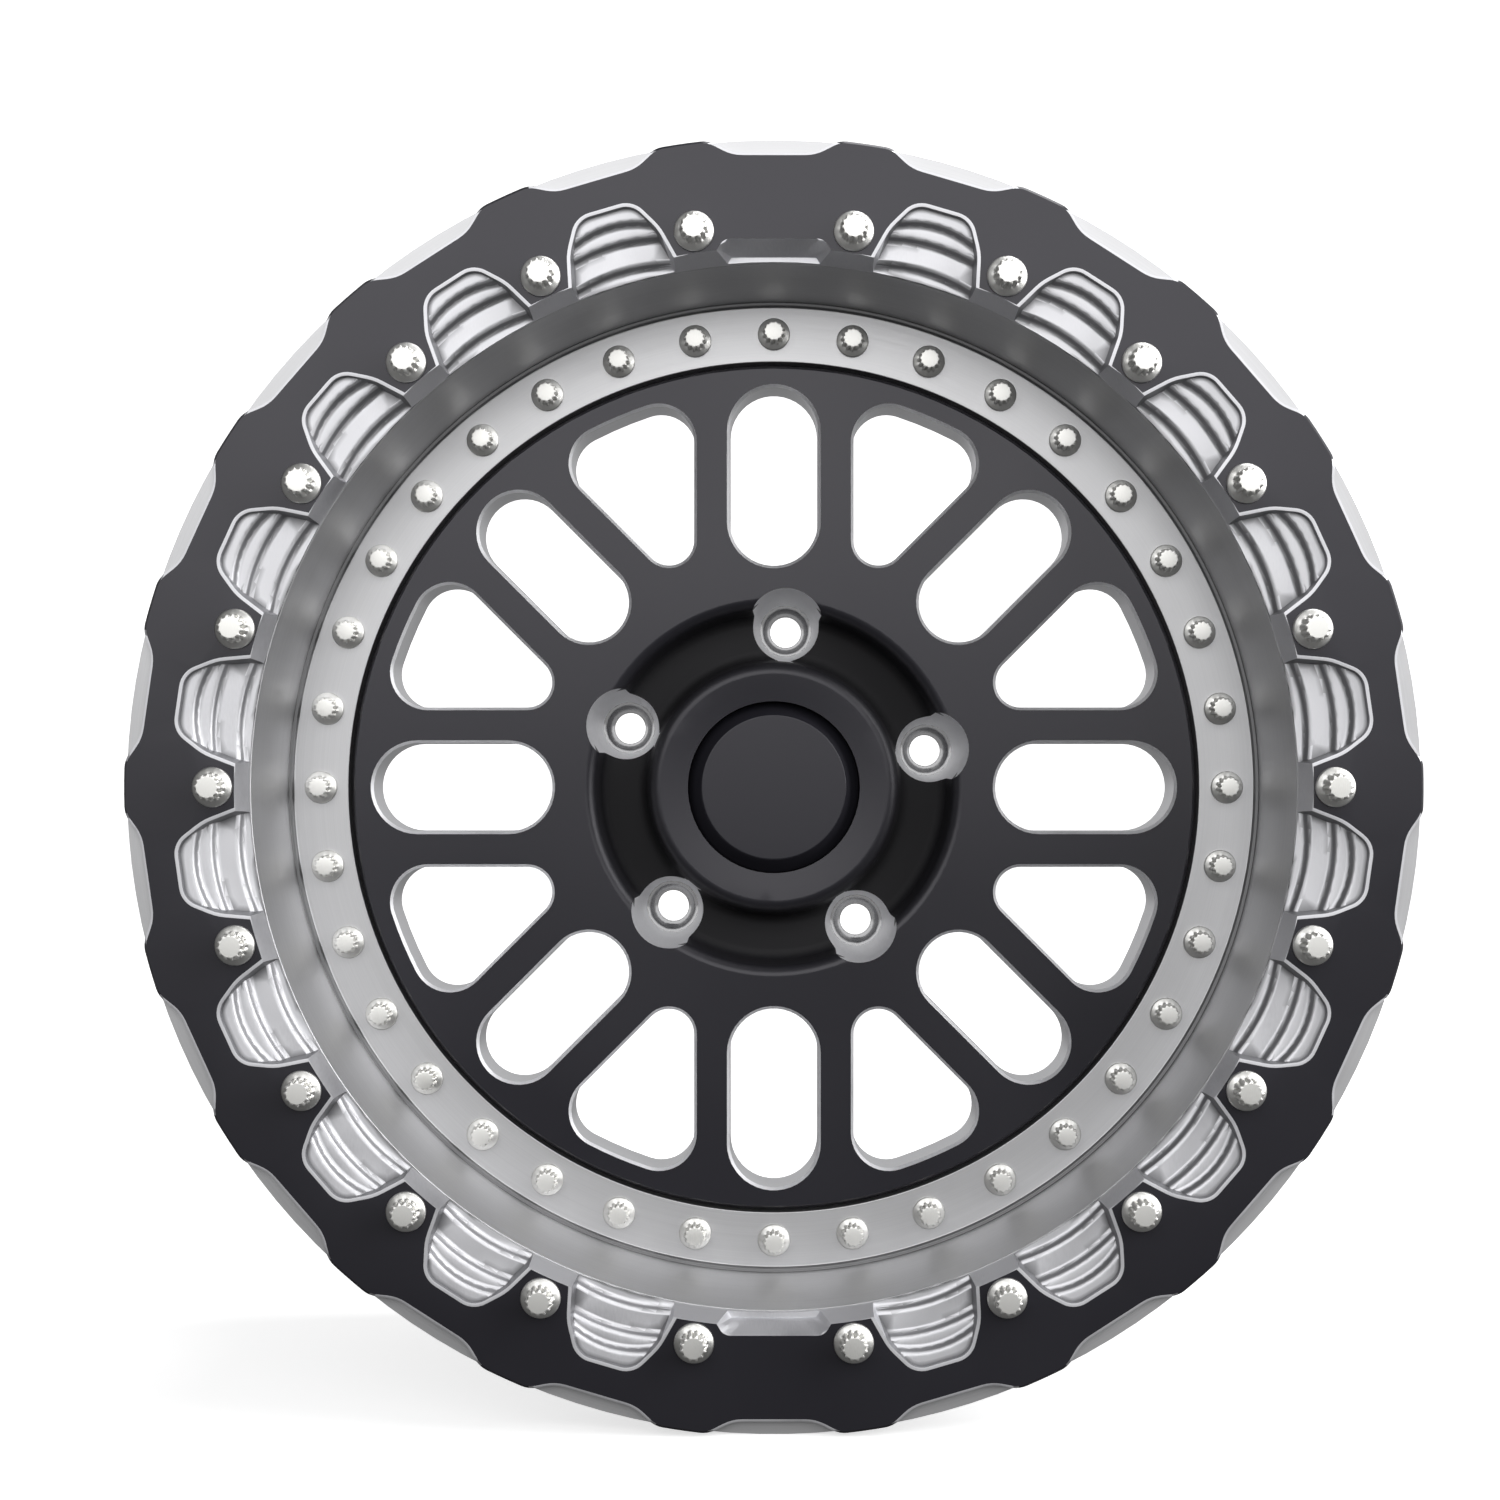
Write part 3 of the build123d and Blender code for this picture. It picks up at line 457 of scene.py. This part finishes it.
def set_out(points, faces, row_r, seat_h, angles, turns):
    """Copies of one screw or nut on a circle of the wheel, each spun by its own turn about its axis and then put
    at angle a of the circle: local (x, h, z) goes to (row_r sin a + x, -(seat_h + h), row_r cos a + z)."""
    x, h, z = points.T
    c, s = np.cos(turns)[:, None], np.sin(turns)[:, None]
    a = angles[:, None]
    across, upward = row_r * np.sin(a) + c * x - s * z, row_r * np.cos(a) + s * x + c * z
    placed = np.stack([across, -(seat_h + h) + 0 * a, upward], -1)
    step = len(points) * np.arange(len(angles))[:, None, None]
    return placed.reshape(-1, 3), (faces[None] + step).reshape(-1, 4)


def pole_closed(points, faces, indices):
    """Makes one point of those that coincide at a pole, and triangles of the quads that lose a corner there.
    The triangles come last, and the faces' indices are put in the same order."""
    kept, index = np.unique(points.round(8), axis=0, return_inverse=True)
    faces = index.reshape(-1)[faces]
    repeat = faces == np.roll(faces, -1, axis=1)
    pinched = repeat.any(1)
    order = np.concatenate([np.flatnonzero(~pinched), np.flatnonzero(pinched)])
    whole = faces[~pinched].tolist() + faces[pinched][~repeat[pinched]].reshape(-1, 3).tolist()
    return kept, whole, indices[order]


# Painted highlight: the head tops are a little lighter than the rest of each screw
head_highlight_steel = finish_material(
    "head_highlight_steel", mill_grain, 2600.0, ((0.84, 0.835, 0.80), (0.92, 0.915, 0.885)), (0.40, 0.48), 4e-6
)
bolt_steel = finish_material(
    "bolt_steel", mill_grain, 2600.0, ((0.80, 0.795, 0.765), (0.88, 0.875, 0.85)), (0.34, 0.42), 4e-6
)


def placed_bolts(name, rows, row_r, seat_h, angles, turns, top_rows=4):
    """All the screws of one circle as a piece; the top rows of each head have the first finish."""
    points, faces = twelve_point(rows)
    per_row = len(faces) // (len(rows) - 1)
    indices = np.tile(np.arange(len(faces)) // per_row >= top_rows, len(angles))
    points, faces = set_out(points, faces, row_r, seat_h, angles, turns)
    points, faces, indices = pole_closed(points, faces, indices)
    return piece_from(name, points, faces, (head_highlight_steel, bolt_steel), indices, sharp=40)


flute = 0.26
assembly_rows = [
    (0.0, 0.0085, 0), (0.0030, 0.0085, 0), (0.0036, 0.00845, 0.4 * flute), (0.0041, 0.0082, flute),
    (0.0043, 0.0078, flute), (0.0043, 0.0027, flute), (0.0044, 0.0021, 0.5 * flute), (0.0046, 0.0019, 0),
    (0.0059, 0.00135, 0), (0.0062, 0.0011, 0), (0.0063, 0.0008, 0), (0.0063, 0.0002, 0), (0.0061, 0.0, 0),
    (0.0035, 0.0, 0), (0.0035, -0.0359, 0), (0.0029, -0.0365, 0), (0.0, -0.0365, 0),
]
assembly_count = 36
assembly_row_r = 0.178
flange_h = 0.048
seeded = np.random.default_rng(36)
assembly_angles = np.radians(360 / assembly_count * np.arange(assembly_count))
assembly_turns = seeded.uniform(0, np.pi, assembly_count)
small_bolts = placed_bolts(
    "assembly_bolts_12_point", assembly_rows, assembly_row_r, flange_h, assembly_angles, assembly_turns
)
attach(small_bolts, "root")
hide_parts("assembly_bolts")

# Assembly nuts: plated steel hexagon nuts behind the inner barrel's flange, one on each of the small bolts.
# They are cut from bar and chamfered on both faces.


def hexagon_nut(flats, bore, height, turns=48):
    """A nut as a closed loop of rings: the radius at angle p is the lesser of a row's limit and the hexagon
    (flats / 2) / cos(p mod 60 - 30). The limit is the chamfer's on the faces and the bore's radius inside."""
    chamfer, ease, bore_ease, free = flats / 2 * 1.06, 0.06 * height, 0.0003, 1.0
    mouth = bore + bore_ease
    limit = np.array([mouth, chamfer, free, free, chamfer, mouth, bore, bore])[:, None]
    level = np.array([0, 0, ease, height - ease, height, height, height - bore_ease, bore_ease])[:, None]
    p = np.linspace(0, 2 * np.pi, turns, endpoint=False)[None]
    sides = flats / 2 / np.cos(np.mod(p, np.pi / 3) - np.pi / 6)
    radius = np.minimum(limit, sides)
    points = np.stack(np.broadcast_arrays(radius * np.cos(p), -level, radius * np.sin(p)), -1).reshape(-1, 3)
    return points, grid_faces(len(level), turns)


nut_flats = 0.011
nut_bore_r = 0.00355
nut_height = 0.007
nut_h = 0.020
points, faces = hexagon_nut(nut_flats, nut_bore_r, nut_height)
nut_turns = seeded.uniform(0, np.pi, assembly_count)
points, faces = set_out(points, faces[:, ::-1], assembly_row_r, nut_h, assembly_angles, nut_turns)
nuts = piece_from("assembly_nuts_hexagon", points, faces, (bolt_steel,))
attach(nuts, "root")
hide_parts("assembly_nuts")

# Tyre valve: a brass stem with its core, clamped through the drop centre by a washer and nut on a rubber
# grommet. A black moulded cap covers its end, inside the wheel and behind the disc.
valve_brass = finish_material(
    "valve_brass", mill_grain, 2600.0, ((0.58, 0.43, 0.20), (0.68, 0.52, 0.26)), (0.25, 0.38), 5e-6
)
soft_rubber = finish_material(
    "soft_rubber", coat_skin, 1500.0, ((0.018, 0.018, 0.018), (0.028, 0.028, 0.028)), (0.6, 0.75), 3e-5,
    metallic=0.0, gloss="Gloss",
)
moulded_black = finish_material(
    "moulded_black", coat_skin, 1800.0, ((0.022, 0.022, 0.023), (0.034, 0.034, 0.035)), (0.42, 0.55), 2e-5,
    metallic=0.0, gloss="Gloss",
)
valve_finishes = {
    "valve_stem": valve_brass, "valve_core": valve_brass, "valve_nut": valve_brass,
    "valve_washer": bolt_steel, "valve_grommet": soft_rubber, "valve_cap": moulded_black,
}
for node, material in valve_finishes.items():
    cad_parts[node].data.materials.clear()
    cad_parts[node].data.materials.append(material)

# Centre cap: a plain cup turned from aluminium and coated black like the disc, pushed into the hub.
# Its square rubber ring grips the bore.
cap_easing = 0.0003
cap_section = [
    (0.0, 0.0493), (0.0283, 0.0493), (0.03355, 0.0433), (0.03355, 0.03895), (0.0319, 0.03895),
    (0.0319, 0.03705), (0.03355, 0.03705), (0.03355, 0.0330), (0.0279, 0.0330), (0.0279, 0.0393),
    (0.0243, 0.0453), (0.0, 0.0453),
]
eased = rounded(cap_section, cap_easing).reshape(len(cap_section), -1, 2)[1:-1].reshape(-1, 2)
cap_outline = np.concatenate([cap_section[:1], eased, cap_section[-1:]])
points, faces = turned(cap_outline, steps=144, closed=False)
points, faces, indices = pole_closed(points, faces, np.zeros(len(faces)))
cap = piece_from("centre_cap_turned", points, faces, (black_coat,), indices)
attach(cap, "root")
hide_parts("centre_cap")
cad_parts["cap_seal"].data.materials.clear()
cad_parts["cap_seal"].data.materials.append(soft_rubber)

# Beadlock ring: milled from aluminium plate and coated black, then cut again, which leaves bare metal in the
# stepped pockets, on the ledges and chamfers of the outer notches and on the bevels towards the lip.

# The foot of each pocket wall and of each riser between the treads is darkened as painted shade in the crease:
# the point attribute is 1 there and 0 on the treads' outer edges.
crease_shade_grey = (0.24, 0.24, 0.25)
crease_shade_share = 0.85
pocket_alloy = finish_material(
    "pocket_alloy", mill_grain, 1600.0, ((0.70, 0.70, 0.725), (0.78, 0.78, 0.805)), (0.46, 0.54), 6e-6
)
tree = pocket_alloy.node_tree
crease_shade = tree.nodes.new("ShaderNodeAttribute")
crease_shade.attribute_name = "crease_shade"
# Painted shade: the base colour darkens towards grey in the creases at the foot of each riser
laid_over(tree, ranged(tree, crease_shade.outputs["Fac"], 0.0, crease_shade_share, 0.5, 1.0), crease_shade_grey)

# The chamfers of pockets and notches are laid nearly flat, just under the front, so that they show as a bright rim
ring_front_y = -0.108
crest_reach = 0.2400
pocket_border = 0.0011
notch_border = 0.0009
border_slack = 3e-5
border_sink = 0.00015
points, faces = welded("beadlock_ring")
below = points[:, 1] - ring_front_y
at_border = np.abs(below - pocket_border) < border_slack
at_border |= np.abs(below - notch_border) < border_slack
at_border &= np.hypot(points[:, 0], points[:, 2]) < crest_reach
points[at_border, 1] = ring_front_y + border_sink

# The front and the crests keep their coat. The pockets' own finish stops at the two plain reliefs on the upright
# axis and at the bevels, which lie within a few degrees of the middle of each lobe.
face_on = -0.95
front_depth = 0.0002
level_depth = 1e-5
ledge_reach = 0.2345
ledge_face_on = -0.9
pocket_depth = 0.0001
pocket_reach = 0.2290
pocket_face_on = -0.02
relief_half = 0.040
ring_bolt_count = 22
lobe_pitch = 360 / ring_bolt_count
lobe_half = 2.5
bevel_reach = 0.2035
corner, centre, normal, reach = face_facts(points, faces)
depth = corner[:, :, 1] - ring_front_y
coated = (normal[:, 1] < face_on) & (centre[:, 1] < ring_front_y + front_depth)
coated |= (reach.min(1) > crest_reach) & (np.abs(normal[:, 1]) < -face_on)
border = (np.ptp(corner[:, :, 1], axis=1) > level_depth) & (depth.max(1) < 2 * border_sink)
ledge = (reach.min(1) > ledge_reach) & (normal[:, 1] < ledge_face_on)
turn = np.degrees(np.arctan2(centre[:, 0], centre[:, 2]))
off_lobe = np.abs(np.mod(turn, lobe_pitch) - lobe_pitch / 2)
in_pocket = (depth.min(1) > pocket_depth) & (reach.max(1) < pocket_reach) & (normal[:, 1] < pocket_face_on)
in_pocket &= np.abs(centre[:, 0]) > relief_half
in_pocket &= (off_lobe > lobe_half) | (reach.max(1) > bevel_reach)
finish = np.select([border, coated, ledge, in_pocket], [1, 0, 3, 2], 1)
ring_finishes = (black_coat, milled_alloy, pocket_alloy, turned_alloy)
ring = piece_from("beadlock_ring_finished", points, faces, ring_finishes, finish)

# A point is shaded by the steepest pocket face that meets there, from a normal's y of -0.92 to one of -0.52
crease_shade_from = -0.92
crease_shade_span = 0.4
steepest = np.full(len(points), -1.0)
np.maximum.at(steepest, faces[in_pocket], normal[in_pocket, 1][:, None])
marks = ring.data.attributes.new("crease_shade", "FLOAT", "POINT")
marks.data.foreach_set("value", np.clip((steepest - crease_shade_from) / crease_shade_span, 0, 1).astype(np.float32))
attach(ring, "root")
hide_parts("beadlock_ring")

# Ring bolts: larger flanged 12-point screws through the lobes into the outer barrel, which pull the ring down
# on the tyre's bead. They are plated steel like the small ones, with the same flutes.
ring_bolt_rows = [
    (0.0, 0.0105, 0), (0.0037, 0.0105, 0), (0.0043, 0.01045, 0.4 * flute), (0.0049, 0.0101, flute),
    (0.0051, 0.0097, flute), (0.0051, 0.0033, flute), (0.0053, 0.0026, 0.5 * flute), (0.0055, 0.0024, 0),
    (0.0070, 0.0017, 0), (0.0074, 0.0013, 0), (0.0075, 0.0009, 0), (0.0075, 0.0002, 0), (0.0073, 0.0, 0),
    (0.0040, 0.0, 0), (0.0040, -0.0293, 0), (0.0033, -0.0300, 0), (0.0, -0.0300, 0),
]
ring_bolt_row_r = 0.2083
ring_bolt_angles = np.radians(lobe_pitch * (np.arange(ring_bolt_count) + 0.5))
ring_bolt_turns = seeded.uniform(0, np.pi, ring_bolt_count)
ring_bolts = placed_bolts(
    "beadlock_bolts_12_point", ring_bolt_rows, ring_bolt_row_r, -ring_front_y, ring_bolt_angles, ring_bolt_turns
)
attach(ring_bolts, "root")
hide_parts("beadlock_bolts")

# Studio: a sweep of white paper that is the floor and rises round the wheel, soft boxes and the camera on the
# axis. The soft boxes stand above the camera, to the right and overhead, so that the room below and to the left
# stays dim.


def paper_sweep(section, turns=64):
    """A section of (r, z) points carried round the upright axis, as (r sin t, r cos t, z), closed by a flat
    middle."""
    r, z = np.asarray(section, float).T[:, :, None]
    t = np.linspace(0, 2 * np.pi, turns, endpoint=False)
    points = np.stack(np.broadcast_arrays(r * np.sin(t), r * np.cos(t), z), -1).reshape(-1, 3)
    return points, [list(range(turns))[::-1]] + grid_faces(len(r), turns, close_rows=False).tolist()


floor_z = cad_box[0].z
floor_r = (0.9, 2.0)
bend_from_r = 3.5
bend_r = 1.5
wall_top_z = 7.0
rise = np.linspace(0, np.pi / 2, 13)
section = [(r, floor_z) for r in floor_r]
section += zip(bend_from_r + bend_r * np.sin(rise), floor_z + bend_r - bend_r * np.cos(rise))
section += [(bend_from_r + bend_r, wall_top_z)]
points, faces = paper_sweep(section)
paper_mesh = bpy.data.meshes.new("paper_sweep")
paper_mesh.from_pydata(points.tolist(), [], faces)
paper_mesh.shade_smooth()
paper = bpy.data.objects.new("paper_sweep", paper_mesh)
bpy.context.scene.collection.objects.link(paper)

# The paper shows white to the camera, a little less near the wheel, where it takes the shadow, and so it does
# through anything clear. In metal the far backdrop is white too. All other rays meet it as lit paper behind the
# wheel and as a dim room in front of it. It is dim and wide, so it isn't sampled as a lamp, which saves time.
white_paper = bpy.data.materials.new("white_paper")
white_paper.use_nodes = True
white_paper.cycles.emission_sampling = "NONE"
paper_mesh.materials.append(white_paper)
tree = white_paper.node_tree
shader = tree.nodes["Principled BSDF"]
shader.inputs["Base Color"].default_value = (0.8, 0.8, 0.8, 1)
shader.inputs["Roughness"].default_value = 0.9
shader.inputs["Emission Color"].default_value = (1, 1, 1, 1)
place = tree.nodes.new("ShaderNodeTexCoord")
away = length_of(tree, place.outputs["Object"])
tree.links.new(ranged(tree, away, 0.66, 1.0, 0.4, 2.4), shader.inputs["Emission Strength"])
across = tree.nodes.new("ShaderNodeSeparateXYZ")
tree.links.new(place.outputs["Object"], across.inputs[0])
rays = tree.nodes.new("ShaderNodeLightPath")
room = ranged(tree, across.outputs["Y"], 0.09, 0.42, -0.10, 0.25)
backdrop = ranged(tree, across.outputs["Y"], 0.0, 0.58, 2.2, 3.4)
in_metal = math_node(tree, "MULTIPLY", rays.outputs["Is Glossy Ray"], backdrop)
lit = tree.nodes.new("ShaderNodeEmission")
tree.links.new(math_node(tree, "ADD", room, in_metal), lit.inputs["Strength"])
seen = math_node(tree, "MAXIMUM", rays.outputs["Is Camera Ray"], rays.outputs["Is Transmission Ray"])
choose = tree.nodes.new("ShaderNodeMixShader")
tree.links.new(seen, choose.inputs["Fac"])
tree.links.new(lit.outputs[0], choose.inputs[1])
tree.links.new(shader.outputs[0], choose.inputs[2])
tree.links.new(choose.outputs[0], tree.nodes["Material Output"].inputs["Surface"])


def soft_box(name, place, aim, size, watts):
    """A rectangular area lamp at a place, facing a point."""
    lamp = bpy.data.lights.new(name, "AREA")
    lamp.shape = "RECTANGLE"
    lamp.size, lamp.size_y = size
    lamp.energy = watts
    box = bpy.data.objects.new(name, lamp)
    box.location = place
    direction = Vector(aim) - Vector(place)
    box.rotation_euler = direction.to_track_quat("-Z", "Y").to_euler()
    bpy.context.scene.collection.objects.link(box)


soft_box("box_above_camera", (-0.2, -2.2, 0.82), (0, -0.05, 0), (2.6, 1.6), 29)
soft_box("box_right", (1.9, -0.7, 0.8), (0, 0, 0), (2.0, 2.0), 52)
soft_box("box_top", (0.5, 0.0, 1.9), (0, 0, 0), (1.2, 1.0), 20)

world = bpy.data.worlds.new("studio")
bpy.context.scene.world = world
world.use_nodes = True
world.node_tree.nodes["Background"].inputs["Color"].default_value = (0.13, 0.13, 0.135, 1)

# The camera stands 1 m in front of the ring; its shift puts the wheel where it is in the photograph of 1500 pixels
photo_width = 1500
lens_data = bpy.data.cameras.new("photo_view")
lens_data.lens = 64.7
lens_data.sensor_width = 36
lens_data.shift_x = -23.85 / photo_width
lens_data.shift_y = 37.2 / photo_width
camera = bpy.data.objects.new("photo_view", lens_data)
camera.location = (0, -1.108, 0)
camera.rotation_euler = (math.pi / 2, 0, 0)
bpy.context.scene.collection.objects.link(camera)
bpy.context.scene.camera = camera
bpy.context.scene.view_settings.view_transform = "Standard"
